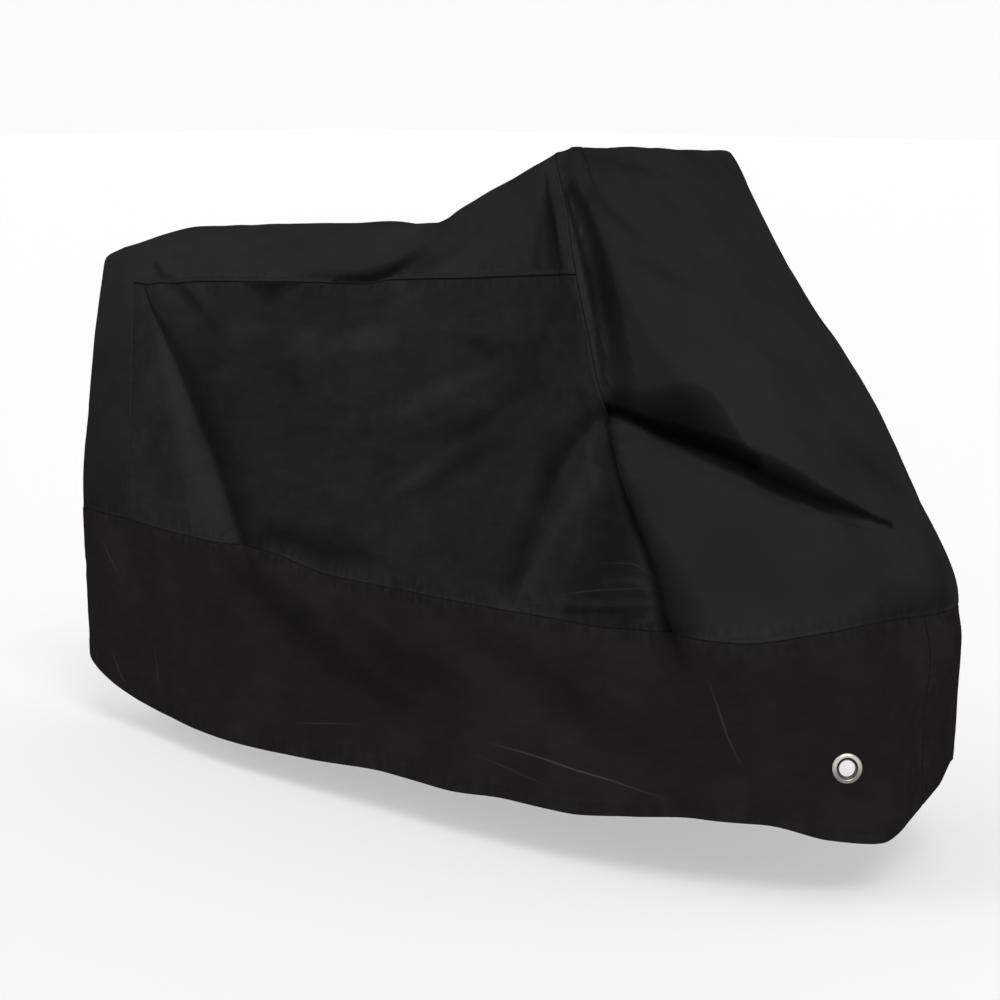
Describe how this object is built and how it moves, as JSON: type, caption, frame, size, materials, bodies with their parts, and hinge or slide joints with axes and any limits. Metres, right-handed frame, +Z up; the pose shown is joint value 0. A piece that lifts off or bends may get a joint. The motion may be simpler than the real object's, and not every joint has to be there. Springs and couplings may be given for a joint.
{
  "type": "motorcycle cover",
  "caption": "Fitted cover that hangs hollow: a level top that rises to a high front, glossy upper cloth and a matte skirt with an eyelet near the front of each side.",
  "frame": {"origin": "just under the top strip, on the middle plane, in the middle of its level stretch", "axes": "+X towards the cover's front, +Y to its left side, +Z up"},
  "size_m": [1.9425, 0.6983, 1.0507],
  "materials": {
    "upper_cloth": "coated cloth with a soft gloss",
    "skirt_cloth": "coated cloth, matte",
    "plated_metal": "bright nickel plating"
  },
  "bodies": {
    "root": {"top_strip": "upper_cloth", "side_right": "upper_cloth", "side_left": "upper_cloth", "front_panel": "upper_cloth", "skirt_right": "skirt_cloth", "skirt_left": "skirt_cloth", "eyelet_right": "plated_metal", "eyelet_washer_right": "plated_metal", "eyelet_left": "plated_metal", "eyelet_washer_left": "plated_metal"}
  },
  "joints": []
}
